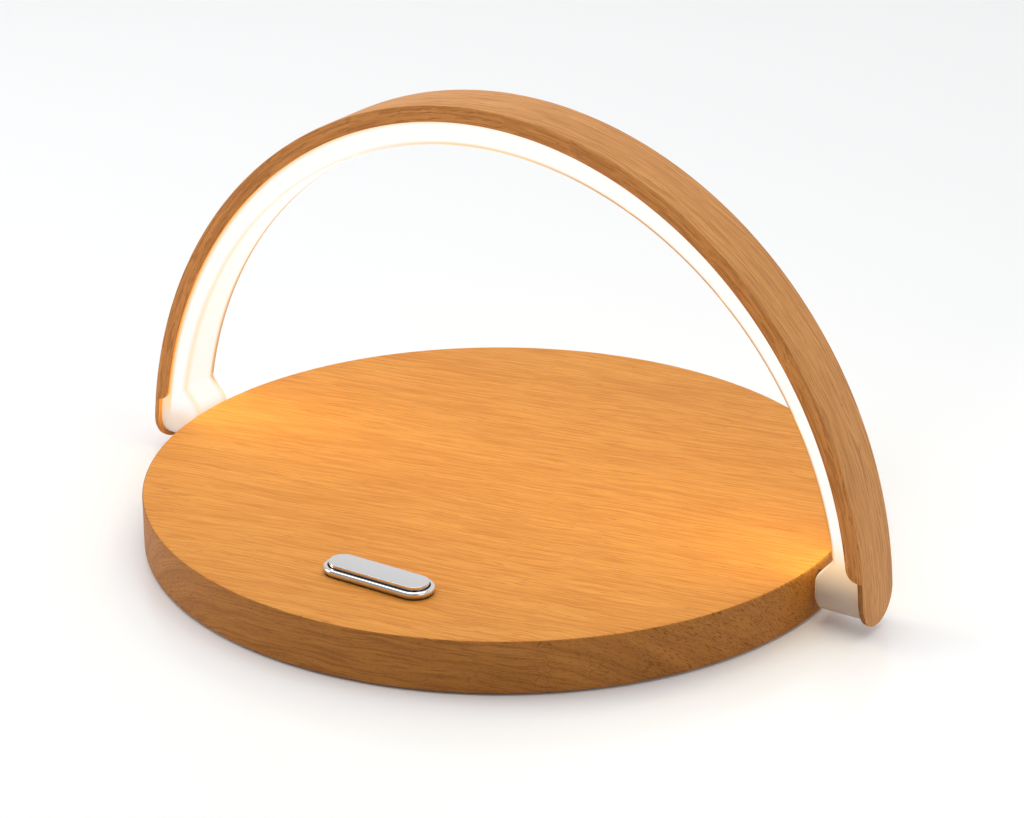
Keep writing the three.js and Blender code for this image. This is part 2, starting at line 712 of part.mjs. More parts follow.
// ---- Leads held inside ----
function leads() {
  const lowEnd = shaftStartX - 1;
  const slotX = bandOuterX - skinThickness - 3;
  const stripEnd = insertRadius + 3.2;
  const up = lead(
    [
      [lowEnd, 0, 0],
      [(lowEnd + slotX) / 2, 0, 0],
      [slotX - 3, 0, 0],
      [slotX, 0, 1],
      [slotX + 0.2, 0, 3.4],
      [slotX - 0.6, 0, stripEnd - 1],
    ],
    26,
  );
  piece(arch, "light_lead_arch", up, whitePlastic);

  const plugY = boardFrontY + 0.7;
  const plugZ = chipZ + 1.6;
  const down = lead(
    [
      [lowEnd - seatGap, 0, hingeZ],
      [lowEnd - 5, 1, hingeZ - 0.5],
      [lowEnd - 16, 16, plugZ],
      [leadPlugX + 12, boardFrontY - 18, plugZ],
      [leadPlugX + 1, boardFrontY - 6, plugZ],
      [leadPlugX, plugY, plugZ],
    ],
    30,
  );
  piece(base, "light_lead_base", down, whitePlastic);

  const coilMiddle = coilZ + coilThickness / 2;
  const out = coilRadius + leadRadius + seatGap;
  const tail = lead(
    [
      [-out * Math.cos(deg(60)), out * Math.sin(deg(60)), coilMiddle],
      [-(out + 5) * Math.cos(deg(61)), (out + 5) * Math.sin(deg(61)), coilMiddle],
      [-leadPlugX, boardFrontY - 14, (coilMiddle + plugZ) / 2],
      [-leadPlugX, boardFrontY - 5, plugZ],
      [-leadPlugX, plugY, plugZ],
    ],
    26,
  );
  piece(base, "coil_lead", tail, copper);
}

coilPack();
baseCover();
bottomPlate();
electronics();
keyParts();
hingeSide("right", 0);
hingeSide("left", Math.PI);
archShell();
lightDiffuser();
ledLight();
leads();

export default charger;
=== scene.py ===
"""Round oak charging pad with a folding arch light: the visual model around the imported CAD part."""

import json
import math

import bmesh
import bpy
import numpy as np
from mathutils import Matrix, Vector


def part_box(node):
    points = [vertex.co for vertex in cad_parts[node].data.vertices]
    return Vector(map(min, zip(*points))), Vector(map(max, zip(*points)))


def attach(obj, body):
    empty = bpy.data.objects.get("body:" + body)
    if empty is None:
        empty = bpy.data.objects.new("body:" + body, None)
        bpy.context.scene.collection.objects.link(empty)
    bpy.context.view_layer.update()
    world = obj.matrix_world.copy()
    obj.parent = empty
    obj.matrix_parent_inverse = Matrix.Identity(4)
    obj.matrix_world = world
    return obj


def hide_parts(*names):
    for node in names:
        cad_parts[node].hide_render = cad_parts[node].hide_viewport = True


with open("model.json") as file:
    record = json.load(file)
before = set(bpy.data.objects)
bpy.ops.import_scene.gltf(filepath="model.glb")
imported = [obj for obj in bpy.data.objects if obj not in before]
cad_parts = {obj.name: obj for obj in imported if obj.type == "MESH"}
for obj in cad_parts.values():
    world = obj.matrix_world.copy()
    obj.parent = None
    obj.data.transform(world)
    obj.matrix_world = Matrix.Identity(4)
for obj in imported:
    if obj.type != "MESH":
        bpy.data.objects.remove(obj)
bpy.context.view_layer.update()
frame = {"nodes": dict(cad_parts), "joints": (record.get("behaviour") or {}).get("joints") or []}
MM = 0.001

# ---- Sizes, in metres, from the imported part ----
cover_lo, cover_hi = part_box("base_cover")
shell_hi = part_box("arch_shell")[1]
opal_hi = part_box("light_diffuser")[1]
bezel_lo, bezel_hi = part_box("key_bezel")
cap_lo, cap_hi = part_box("key_cap")
inlet_lo, inlet_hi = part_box("inlet_socket")
fold = next(j for j in frame["joints"] if j["name"] == "arch_fold")
AXIS_Z = fold["pos_m"][2]
DISC_R = cover_hi.x
UNDER_Z = cover_lo.z
TOP_Z = cover_hi.z
BAND_R = shell_hi.y
OPAL_R = opal_hi.y

# ---- Sizes repeated from the part's own design ----
TOP_THICK = 2.4 * MM
RIM_WALL = 3.2 * MM
ARCH_DROP = 10.2 * MM
SKIN = 1.5 * MM
LIP_DEPTH = 4.6 * MM
LIP_WALL = 1.0 * MM
LIP_END = 5.8 * MM
LIP_ROUND = 3.2 * MM
OPAL_BACK = 1.8 * MM
OPAL_SIDE = 9.0 * MM
HUB_FACE = 102.2 * MM
INSERT_R = 5.1 * MM
INSERT_X = 104.9 * MM
SHAFT_R = 2.0 * MM
BUSH_R = 3.3 * MM
KEY_RIM = 1.5 * MM
KEY_COLLAR = 0.5 * MM

# ---- Sizes of the visual model alone ----
OPAL_TOP = 11.4 * MM
FLARE_LOW = 4.0 * MM
FLARE_HIGH = 9.6 * MM
FLARE_CORNER = 0.5 * MM
BUSH_COVER = 0.7 * MM
SHAFT_EASE = 0.3 * MM
CAP_GAP = 0.3 * MM
SLOT_EASE = 0.3 * MM
POCKET_HALF = 7 * MM
POCKET_INSET = 0.5 * MM
POCKET_EASE = 0.4 * MM
INLET_EASE = 0.3 * MM
TOP_EDGE = 0.0007
BAND_EDGE = 0.35 * MM
OPAL_ROUND = 1.1 * MM
ABOVE_LIPS = 50 * MM
ROD_SEGMENTS = 48
DISC_SEGMENTS = 288
BUSH_SEGMENTS = 64
END_STEPS = 16
SHELL_STEPS = 90
OPAL_STEPS = 80

ARCH_B = shell_hi.z - AXIS_Z + ARCH_DROP
ARCH_A = shell_hi.x / math.sqrt(1 - ((ARCH_DROP - BAND_R) / ARCH_B) ** 2)


# ---- Mesh building ----
def make_mesh(name, verts, faces):
    """A new object from points and faces, with coincident points merged and facing outwards."""
    mesh = bpy.data.meshes.new(name)
    mesh.from_pydata([tuple(v) for v in verts], [], faces)
    obj = bpy.data.objects.new(name, mesh)
    bpy.context.scene.collection.objects.link(obj)
    tidy(obj)
    smooth(obj)
    return obj


def tidy(obj, merge=1e-6):
    """Merges points closer than merge, drops faces of no size and turns faces outwards."""
    bm = bmesh.new()
    bm.from_mesh(obj.data)
    bmesh.ops.remove_doubles(bm, verts=bm.verts, dist=merge)
    bmesh.ops.dissolve_degenerate(bm, edges=bm.edges, dist=1e-8)
    bmesh.ops.recalc_face_normals(bm, faces=bm.faces)
    bm.to_mesh(obj.data)
    bm.free()


def smooth(obj, sharp=32):
    obj.data.shade_smooth()
    obj.data.set_sharp_from_angle(angle=math.radians(sharp))


def loft(rings, closed=False):
    """Quads between rings of the same length. closed joins the last ring to the first."""
    count = len(rings[0])
    verts = [p for ring in rings for p in ring]
    faces = []
    steps = len(rings) if closed else len(rings) - 1
    for i in range(steps):
        low = i * count
        high = ((i + 1) % len(rings)) * count
        for k in range(count):
            n = (k + 1) % count
            faces.append((low + k, low + n, high + n, high + k))
    return verts, faces


def arc(cx, cy, radius, start, end, steps=5):
    """Points on a circle's arc, angles in degrees."""
    angles = np.radians(np.linspace(start, end, steps + 1))
    return [(cx + radius * math.cos(a), cy + radius * math.sin(a)) for a in angles]


def lathe(name, profile, segments, place=None):
    """Turns a closed (radius, height) outline about Z, then moves it by place."""
    angles = [2 * math.pi * i / segments for i in range(segments)]
    rings = [[(r * math.cos(a), r * math.sin(a), z) for r, z in profile] for a in angles]
    verts, faces = loft(rings, closed=True)
    obj = make_mesh(name, verts, faces)
    if place is not None:
        obj.data.transform(place)
    return obj


def pill_ring(length, width, z, steps=18):
    """Points of a pill outline at one height, long axis along X."""
    r = width / 2
    points = []
    for side in (1, -1):
        for i in range(steps + 1):
            a = -math.pi / 2 + math.pi * i / steps
            x = side * (length / 2 - r + r * math.cos(a))
            points.append((x, side * r * math.sin(a), z))
    return points


def pill_lathe(name, length, width, profile, solid, place=None, steps=18):
    """Lofts pill rings along a profile of (inset, height). A solid one is closed at both ends,
    and another joins its last ring to its first."""
    rings = [pill_ring(length - 2 * d, width - 2 * d, z, steps) for d, z in profile]
    verts, faces = loft(rings, closed=not solid)
    if solid:
        count = len(rings[0])
        for start in (0, (len(rings) - 1) * count):
            for k in range(count // 2 - 1):
                a, b = start + k, start + k + 1
                c, d = start + count - 2 - k, start + count - 1 - k
                faces.append((a, b, c, d))
    obj = make_mesh(name, verts, faces)
    if place is not None:
        obj.data.transform(place)
    return obj


def boolean(obj, tools, sharp):
    """Cuts the tools from obj and removes them."""
    for tool in tools:
        step = obj.modifiers.new("step", "BOOLEAN")
        step.solver = "EXACT"
        step.operation = "DIFFERENCE"
        step.object = tool
    depsgraph = bpy.context.evaluated_depsgraph_get()
    made = bpy.data.meshes.new_from_object(obj.evaluated_get(depsgraph))
    obj.modifiers.clear()
    obj.data = made
    for tool in tools:
        bpy.data.objects.remove(tool)
    smooth(obj, sharp)


def rod(radius, start, end):
    """A cylinder tool on the hinge axis."""
    profile = [(0, start), (radius, start), (radius, end), (0, end)]
    turn = Matrix.Translation((0, 0, AXIS_Z)) @ Matrix.Rotation(math.pi / 2, 4, "Y")
    return lathe("tool", profile, ROD_SEGMENTS, place=turn)


def settle(obj, name, body, slot_name, material, *nodes):
    """Names the piece, gives it its material and ties it to its body and CAD nodes."""
    obj.name = name
    if not obj.data.materials:
        obj.data.materials.append(material)
    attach(obj, body)
    if nodes:
        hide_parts(*nodes)
    return obj


# ---- Camera ----
# Fitted to the photo: azimuth, elevation and roll in radians, then the distance from the middle of
# the underside and the shifts to the right and up, in metres.
CAMERA_LENS = 101.66
CAMERA_ANGLES = (0.5652, 0.3976, 0.0034)
CAMERA_PLACE = (0.81773, 0.00323, 0.03279)


def make_camera():
    data = bpy.data.cameras.new("camera")
    data.sensor_width = 36
    data.lens = CAMERA_LENS
    data.clip_start = 0.05
    data.clip_end = 20
    azimuth, elevation, roll = CAMERA_ANGLES
    back = Vector(
        (
            math.sin(azimuth) * math.cos(elevation),
            -math.cos(azimuth) * math.cos(elevation),
            math.sin(elevation),
        )
    )
    level = Vector((math.cos(azimuth), math.sin(azimuth), 0))
    upright = back.cross(level)
    right = math.cos(roll) * level + math.sin(roll) * upright
    up = -math.sin(roll) * level + math.cos(roll) * upright
    turn = Matrix((right, up, back)).transposed().to_4x4()
    away, sideways, upward = CAMERA_PLACE
    place = away * back + sideways * right + upward * up + Vector((0, 0, UNDER_Z))
    camera = bpy.data.objects.new("camera", data)
    camera.matrix_world = Matrix.Translation(place) @ turn
    bpy.context.scene.collection.objects.link(camera)
    bpy.context.scene.camera = camera


make_camera()


# ---- Shader helpers ----
class Nodes:
    """Builds one material's node tree."""

    def __init__(self, name):
        self.material = bpy.data.materials.new(name)
        self.material.use_nodes = True
        self.tree = self.material.node_tree
        self.tree.nodes.clear()
        self.out = self.tree.nodes.new("ShaderNodeOutputMaterial")
        self.shader = self.tree.nodes.new("ShaderNodeBsdfPrincipled")
        self.tree.links.new(self.shader.outputs[0], self.out.inputs[0])

    def put(self, socket, value):
        if isinstance(value, bpy.types.NodeSocket):
            self.tree.links.new(value, socket)
        elif isinstance(value, (tuple, list)) and len(value) == 3 and socket.type == "RGBA":
            socket.default_value = (*value, 1)
        else:
            socket.default_value = value

    def set(self, **values):
        """Sets the main shader's sockets."""
        for name, value in values.items():
            self.put(self.shader.inputs[name.replace("_", " ")], value)

    def math(self, operation, a, b=0.0):
        node = self.tree.nodes.new("ShaderNodeMath")
        node.operation = operation
        self.put(node.inputs[0], a)
        self.put(node.inputs[1], b)
        return node.outputs[0]

    def vector(self, operation, a, b=(0, 0, 0)):
        node = self.tree.nodes.new("ShaderNodeVectorMath")
        node.operation = operation
        self.put(node.inputs[0], a)
        self.put(node.inputs[1], b)
        return node.outputs[0]

    def object_space(self):
        return self.tree.nodes.new("ShaderNodeTexCoord").outputs["Object"]

    def attribute(self, name):
        node = self.tree.nodes.new("ShaderNodeAttribute")
        node.attribute_name = name
        return node.outputs["Vector"]

    def mapped(self, source, scale, turn=(0, 0, 0), move=(0, 0, 0)):
        """The source vector turned, moved, then scaled."""
        turned = self.tree.nodes.new("ShaderNodeMapping")
        turned.vector_type = "POINT"
        self.put(turned.inputs["Vector"], source)
        turned.inputs["Rotation"].default_value = turn
        turned.inputs["Location"].default_value = move
        return self.vector("MULTIPLY", turned.outputs[0], scale)

    def noise(self, source, scale=1.0, detail=2.0, roughness=0.5):
        node = self.tree.nodes.new("ShaderNodeTexNoise")
        self.put(node.inputs["Vector"], source)
        node.inputs["Scale"].default_value = scale
        node.inputs["Detail"].default_value = detail
        node.inputs["Roughness"].default_value = roughness
        return node.outputs["Fac"]

    def voronoi(self, source, feature="F1"):
        node = self.tree.nodes.new("ShaderNodeTexVoronoi")
        node.feature = feature
        self.put(node.inputs["Vector"], source)
        node.inputs["Scale"].default_value = 1
        return node.outputs["Distance"]

    def ramp(self, value, low, high, start=0.0, end=1.0):
        """Maps low..high of value to start..end, smoothly and clamped."""
        node = self.tree.nodes.new("ShaderNodeMapRange")
        node.interpolation_type = "SMOOTHSTEP"
        self.put(node.inputs[0], value)
        for i, v in enumerate((low, high, start, end), 1):
            node.inputs[i].default_value = v
        return node.outputs[0]

    def line(self, value, low, high, start=0.0, end=1.0):
        """Maps low..high of value to start..end, straight and clamped."""
        node = self.tree.nodes.new("ShaderNodeMapRange")
        self.put(node.inputs[0], value)
        for i, v in enumerate((low, high, start, end), 1):
            node.inputs[i].default_value = v
        return node.outputs[0]

    def colours(self, value, stops):
        """A colour ramp from (place, colour) stops."""
        node = self.tree.nodes.new("ShaderNodeValToRGB")
        self.put(node.inputs[0], value)
        elements = node.color_ramp.elements
        elements[0].position, elements[0].color = stops[0][0], (*stops[0][1], 1)
        elements[1].position, elements[1].color = stops[-1][0], (*stops[-1][1], 1)
        for place, colour in stops[1:-1]:
            made = elements.new(place)
            made.color = (*colour, 1)
        return node.outputs[0]

    def mix(self, amount, a, b):
        node = self.tree.nodes.new("ShaderNodeMix")
        node.data_type = "RGBA"
        self.put(node.inputs[0], amount)
        self.put(node.inputs[6], a)
        self.put(node.inputs[7], b)
        return node.outputs[2]

    def split(self, source):
        node = self.tree.nodes.new("ShaderNodeSeparateXYZ")
        self.put(node.inputs[0], source)
        return node.outputs

    def join(self, x, y, z):
        node = self.tree.nodes.new("ShaderNodeCombineXYZ")
        for socket, value in zip(node.inputs, (x, y, z)):
            self.put(socket, value)
        return node.outputs[0]

    def bump(self, height, distance, strength=1.0):
        """Raises the surface by height times distance."""
        node = self.tree.nodes.new("ShaderNodeBump")
        node.inputs["Strength"].default_value = strength
        node.inputs["Distance"].default_value = distance
        self.put(node.inputs["Height"], height)
        self.put(self.shader.inputs["Normal"], node.outputs[0])


def linear(r, g, b):
    """A colour given as 0..255 screen values, as the renderer's linear values."""
    return tuple(((c / 255 + 0.055) / 1.055) ** 2.4 for c in (r, g, b))


# ---- Wood ----
def oak(name, source, tone, move=(0, 0, 0), turn=0.0, glow=False):
    """Oak whose grain runs along the source's X: soft bands, fine wavy streaks, fibres and pores.
    tone is (dark, middle, light), source is in metres, and glow adds the light's spill by the hubs as
    painted light: the wood itself glows orange."""
    n = Nodes(name)
    space = n.object_space() if source == "object" else n.attribute(source)
    mm = n.mapped(space, (1000, 1000, 1000), turn=(0, 0, turn), move=move)
    drift = n.noise(n.vector("MULTIPLY", mm, (0.014, 0.03, 0.03)), detail=1)
    ripple = n.noise(n.vector("MULTIPLY", mm, (0.06, 0.16, 0.16)), detail=2)
    wave = n.math("ADD", n.math("MULTIPLY", drift, 6), n.math("MULTIPLY", ripple, 2.6))
    mm = n.vector("ADD", mm, n.join(0.0, wave, 0.0))
    bands = n.noise(n.vector("MULTIPLY", mm, (0.012, 0.07, 0.07)), detail=2)
    streaks = n.noise(n.vector("MULTIPLY", mm, (0.028, 0.9, 0.9)), detail=3, roughness=0.6)
    threads = n.noise(n.vector("MULTIPLY", mm, (0.055, 2.1, 2.1)), detail=2, roughness=0.6)
    fibres = n.noise(n.vector("MULTIPLY", mm, (0.4, 6.0, 6.0)), detail=1)
    dashes = n.noise(n.vector("MULTIPLY", mm, (0.22, 3.0, 3.0)), detail=2)
    mixed = n.math("ADD", n.math("MULTIPLY", bands, 0.3), n.math("MULTIPLY", streaks, 0.7))
    base = n.colours(n.line(mixed, 0.33, 0.64), [(0.0, tone[0]), (0.5, tone[1]), (1.0, tone[2])])
    base = n.mix(n.ramp(threads, 0.50, 0.60, 0.0, 0.9), base, tone[0])
    base = n.mix(n.ramp(fibres, 0.3, 0.75, 0.0, 0.3), base, tone[2])
    pore = n.math("MULTIPLY", n.ramp(dashes, 0.60, 0.70), n.ramp(streaks, 0.42, 0.6))
    dark = tuple(c * 0.55 for c in tone[0])
    base = n.mix(n.math("MULTIPLY", pore, 0.6), base, dark)
    relief = n.math("SUBTRACT", n.math("MULTIPLY", fibres, 0.35), n.math("MULTIPLY", pore, 1.2))
    finish_wood(n, base, relief, fibres)
    if glow:
        # painted light: above the hinge axis the wood glows orange as emission, for the light strip's spill
        # on it
        height = n.split(n.object_space())[2]
        lit = n.ramp(height, AXIS_Z - 0.008, AXIS_Z + 0.004)
        n.set(Emission_Color=(1.0, 0.36, 0.05), Emission_Strength=n.math("MULTIPLY", lit, 0.55))
    return n.material


def finish_wood(n, base, relief, gloss):
    """The oiled surface that all the oak shares."""
    n.set(Base_Color=base, Roughness=n.line(gloss, 0.2, 0.8, 0.46, 0.58))
    n.set(Specular_IOR_Level=0.16)
    n.bump(relief, 0.00005, 0.5)


def rim_oak(tone):
    """The disc's side, where the grain is cut across at both ends of the board: long lines where
    the rim runs with the grain, and short slanting strokes and checks where it crosses it. A golden
    tint stands for the light that falls on it by the hubs."""
    n = Nodes("oak_rim")
    mm = n.mapped(n.object_space(), (1000, 1000, 1000), turn=(0, 0, GRAIN))
    x, y, z = n.split(mm)
    turn = n.math("ARCTAN2", x, n.math("MULTIPLY", y, -1.0))
    along = n.math("MULTIPLY", turn, DISC_R * 1000)
    across = n.math("ABSOLUTE", n.math("DIVIDE", x, DISC_R * 1000))
    cut = n.ramp(across, 0.35, 0.85)
    slope = n.math("MULTIPLY", n.math("MULTIPLY", x, across), 0.0045)
    bend = n.noise(n.join(n.math("MULTIPLY", along, 0.03), n.math("MULTIPLY", z, 0.05), 3.0), 1, 2)
    rise = n.math("ADD", n.math("MULTIPLY", bend, 6.0), n.math("MULTIPLY", along, slope))
    level = n.math("ADD", z, rise)
    broad = n.noise(n.join(n.math("MULTIPLY", along, 0.02), n.math("MULTIPLY", level, 0.30), 0.0), 1, 3)
    rows = n.join(n.math("MULTIPLY", along, 0.06), n.math("MULTIPLY", level, 1.5), 5.0)
    lines = n.noise(rows, 1, 2, 0.6)
    strokes = n.noise(n.join(n.math("MULTIPLY", along, 0.55), n.math("MULTIPLY", level, 2.6), 9.0), 1, 2)
    speck = n.noise(n.join(n.math("MULTIPLY", along, 2.4), n.math("MULTIPLY", level, 3.2), 7.0), 1, 1)
    cells = n.join(n.math("MULTIPLY", along, 0.36), n.math("MULTIPLY", level, 0.95), bend)
    checks = n.voronoi(cells, "DISTANCE_TO_EDGE")
    base = n.colours(n.line(broad, 0.15, 0.85), [(0.0, tone[0]), (0.5, tone[1]), (1.0, tone[2])])
    dark = tuple(c * 0.45 for c in tone[0])
    line = n.math("MULTIPLY", n.ramp(lines, 0.48, 0.60), n.line(cut, 0, 1, 0.8, 0.2))
    stroke = n.math("MULTIPLY", n.ramp(strokes, 0.57, 0.64), n.line(cut, 0, 1, 0.25, 0.75))
    patches = n.ramp(n.noise(n.join(along, z, 1.0), 0.11, 1), 0.42, 0.6)
    gate = n.math("MULTIPLY", patches, n.ramp(x, 5, 45))
    check = n.math("MULTIPLY", n.ramp(checks, 0.01, 0.05, 1.0, 0.0), n.math("MULTIPLY", gate, 0.55))
    base = n.mix(line, base, tone[0])
    base = n.mix(n.ramp(speck, 0.3, 0.75, 0.0, 0.35), base, tone[2])
    lit = n.math("MULTIPLY", n.ramp(across, 0.90, 1.0, 0.0, 0.8), n.ramp(n.math("MULTIPLY", x, y), 0, -900))
    base = n.mix(lit, base, HUB_SPILL)
    base = n.mix(stroke, base, dark)
    base = n.mix(check, base, dark)
    relief = n.math("SUBTRACT", n.math("MULTIPLY", speck, 0.3), n.math("ADD", stroke, check))
    finish_wood(n, base, relief, speck)
    return n.material


GRAIN = math.radians(-11)
TOP_TONE = ((0.54, 0.190, 0.028), (0.68, 0.282, 0.054), (0.74, 0.325, 0.066))
RIM_TONE = ((0.28, 0.094, 0.016), (0.44, 0.166, 0.030), (0.53, 0.220, 0.049))
BAND_TONE = ((0.47, 0.190, 0.055), (0.67, 0.302, 0.092), (0.73, 0.350, 0.120))
LIP_TONE = ((0.42, 0.155, 0.036), (0.62, 0.255, 0.065), (0.70, 0.305, 0.090))
HUB_SPILL = (0.46, 0.17, 0.008)
# painted shade: the lip's tone at about half, for the skin's edge that lies in shade
SHADED_EDGE_TONE = ((0.20, 0.075, 0.016), (0.31, 0.125, 0.030), (0.36, 0.150, 0.040))
oak_top = oak("oak_top", "object", TOP_TONE, turn=GRAIN)
oak_rim = rim_oak(RIM_TONE)
oak_band = oak("oak_band", "grain", BAND_TONE, move=(300, 40, 0), turn=math.radians(3))
oak_lip = oak("oak_lip", "grain", LIP_TONE, move=(120, 90, 20))
oak_shaded_edge = oak("oak_shaded_edge", "grain", SHADED_EDGE_TONE, move=(120, 90, 20))
# oak for the arch's inner faces, with painted light glowing on it
oak_lit = oak("oak_lit", "grain", LIP_TONE, move=(120, 90, 20), glow=True)


# ---- Other materials ----
def plain(name, colour, roughness, metallic=0.0, grain=0.06, size=900.0, depth=0.00002, **more):
    """A moulded or metal finish with fine mottling in its colour, gloss and surface."""
    n = Nodes(name)
    space = n.object_space()
    mottle = n.noise(space, size, 3, 0.6)
    broad = n.noise(space, size / 12, 2)
    low = tuple(c * (1 - 2 * grain) for c in colour)
    high = tuple(min(1, c * (1 + grain)) for c in colour)
    mixed = n.math("ADD", n.math("MULTIPLY", mottle, 0.6), n.math("MULTIPLY", broad, 0.4))
    n.set(Base_Color=n.colours(mixed, [(0.3, low), (0.7, high)]), Metallic=metallic)
    n.set(Roughness=n.line(mottle, 0.3, 0.7, roughness * 0.85, roughness * 1.15))
    n.bump(mottle, depth, 0.4)
    n.set(**more)
    return n.material


def chrome(name, low, high, shade):
    """Polished chrome with painted shade: it darkens to shade between the heights high and low."""
    n = Nodes(name)
    wear = n.noise(n.object_space(), 700, 3, 0.6)
    up = n.ramp(n.split(n.object_space())[2], low, high)
    bright = n.mix(wear, (0.83, 0.83, 0.835), (0.88, 0.88, 0.885))
    n.set(Base_Color=n.mix(up, shade, bright), Metallic=1.0, Roughness=n.line(wear, 0.3, 0.7, 0.05, 0.08))
    n.bump(wear, 0.000002, 0.3)
    return n.material


def brushed(name, colour, roughness):
    """Metal with fine lines running along X."""
    n = Nodes(name)
    lines = n.noise(n.mapped(n.object_space(), (250, 9000, 9000)), 1, 2)
    low = tuple(c * 0.86 for c in colour)
    n.set(Base_Color=n.colours(lines, [(0.3, low), (0.7, colour)]), Metallic=1.0)
    n.set(Roughness=n.line(lines, 0.3, 0.7, roughness * 0.8, roughness * 1.25))
    n.bump(lines, 0.00001, 0.3)
    return n.material


def board(name):
    """Green circuit board with a copper pour showing through the mask and rows of small vias."""
    n = Nodes(name)
    space = n.object_space()
    pour = n.noise(space, 160, 1)
    weave = n.noise(space, 2500, 1)
    vias = n.voronoi(n.mapped(space, (350, 350, 350)))
    base = n.mix(n.ramp(pour, 0.46, 0.5), linear(22, 92, 60), linear(34, 118, 76))
    base = n.mix(n.ramp(vias, 0.12, 0.16, 1.0, 0.0), base, linear(196, 160, 90))
    base = n.mix(n.math("MULTIPLY", weave, 0.18), base, linear(70, 150, 110))
    n.set(Base_Color=base, Roughness=n.line(weave, 0.3, 0.7, 0.3, 0.45))
    n.bump(weave, 0.00002, 0.4)
    return n.material


def winding(name):
    """Copper wire wound in rings about the disc's middle."""
    n = Nodes(name)
    x, y, _ = n.split(n.object_space())
    reach = n.math("SQRT", n.math("ADD", n.math("MULTIPLY", x, x), n.math("MULTIPLY", y, y)))
    turns = n.math("SINE", n.math("MULTIPLY", reach, 2 * math.pi / 0.0011))
    wear = n.noise(n.object_space(), 500, 2)
    base = n.colours(n.line(turns, -1, 1), [(0.0, linear(110, 52, 26)), (0.7, linear(206, 128, 76))])
    base = n.mix(n.math("MULTIPLY", wear, 0.3), base, linear(236, 170, 110))
    n.set(Base_Color=base, Metallic=1.0, Roughness=n.line(wear, 0.3, 0.7, 0.28, 0.42))
    n.bump(turns, 0.0002, 0.8)
    return n.material


def opal():
    """Opal plastic: the band glows white with orange-brown edges, and the hubs fade to plain plastic.
    The "light" attribute holds the distance from the rounded edge, the depth and the height.
    Each half of the band is painted brighter along one edge, and alike after half a turn about Z.
    The edges' orange-brown lines, the pale orange band inside the rounded edge, the orange tint next
    to the wood and the darker, brown hub on one side are painted light and shade; the glow itself is the
    lamp."""
    n = Nodes("opal_light")
    edge, depth, height = n.split(n.attribute("light"))
    x, y, _ = n.split(n.object_space())
    # painted light and shade: one side of each half, found from x against the sign of y, is made darker;
    # there the glow fades sooner and the unlit plastic is painted brown
    side = n.math("MULTIPLY", x, n.math("MULTIPLY", n.math("SIGN", y), -1.0))
    inside = n.ramp(edge, -0.0004, 0.0006)
    painted_dim = n.math("MULTIPLY", n.ramp(side, -0.05, 0.05), n.math("SUBTRACT", 1.0, inside))
    haze = n.noise(n.object_space(), 60, 2)
    bright_fade = n.ramp(height, -0.008, 0.008)
    dim_fade = n.ramp(height, -0.0015, 0.0125)
    fade = n.math("ADD", bright_fade, n.math("MULTIPLY", painted_dim, n.math("SUBTRACT", dim_fade, bright_fade)))
    # painted shade: a pale orange band on the inner face just inside the rounded edge
    crease_shade = n.math("MULTIPLY", inside, n.ramp(edge, 0.0004, 0.0032, 1.0, 0.0))
    # painted shade: orange-brown lines along the rounded edges, with darker plastic under them, where the
    # edge turns away
    reach = n.math("MAXIMUM", n.math("MULTIPLY", edge, 0.45), n.math("MULTIPLY", edge, -1.0))
    painted_edge_colour = n.colours(
        n.line(reach, 0.0, 0.0012),
        [(0.0, (0.20, 0.075, 0.015)), (0.3, (0.62, 0.28, 0.06)), (1.0, (0.84, 0.74, 0.55))],
    )
    painted_edge_amount = n.math("MULTIPLY", n.ramp(side, -0.06, 0.0), n.ramp(reach, 0.0003, 0.0012, 1.0, 0.0))
    painted_edge_amount = n.math("MULTIPLY", painted_edge_amount, n.ramp(height, 0.006, 0.012))
    # painted warm light: next to the wood the glow is tinted orange
    wood_side = n.ramp(depth, 0.0046, 0.0056)
    by_wood, pale, inner = (0.85, 0.62, 0.30), (0.86, 0.85, 0.83), (0.84, 0.82, 0.785)
    glow = n.mix(wood_side, by_wood, pale)
    glow = n.mix(inside, glow, inner)
    glow = n.mix(crease_shade, glow, (0.80, 0.68, 0.50))
    outline = n.mix(n.ramp(side, 0.0, 0.05), (0.88, 0.62, 0.36), painted_edge_colour)
    glow = n.mix(painted_edge_amount, glow, outline)
    glow = n.mix(n.ramp(fade, 0.4, 1.0, 1.0, 0.0), glow, (0.92, 0.68, 0.48))
    # painted warm light low on the darker side's hub
    warm = n.math("MULTIPLY", painted_dim, n.ramp(height, 0.006, 0.018, 1.0, 0.0))
    glow = n.mix(warm, glow, (0.98, 0.66, 0.33))
    # painted shade: the unlit plastic is brown on the darker side and pale on the other
    shaded_low_base = n.mix(painted_dim, (0.84, 0.80, 0.78), (0.52, 0.39, 0.30))
    shaded_low_base = n.mix(n.math("MULTIPLY", haze, 0.3), shaded_low_base, (0.80, 0.72, 0.66))
    base = n.mix(fade, shaded_low_base, (0.20, 0.19, 0.175))
    base = n.mix(painted_edge_amount, base, (0.12, 0.06, 0.02))
    n.set(Base_Color=base, Roughness=n.line(haze, 0.3, 0.7, 0.3, 0.4))
    n.set(Emission_Color=glow, Emission_Strength=n.math("MULTIPLY", fade, 1.0))
    n.bump(haze, 0.00002, 0.2)
    return n.material


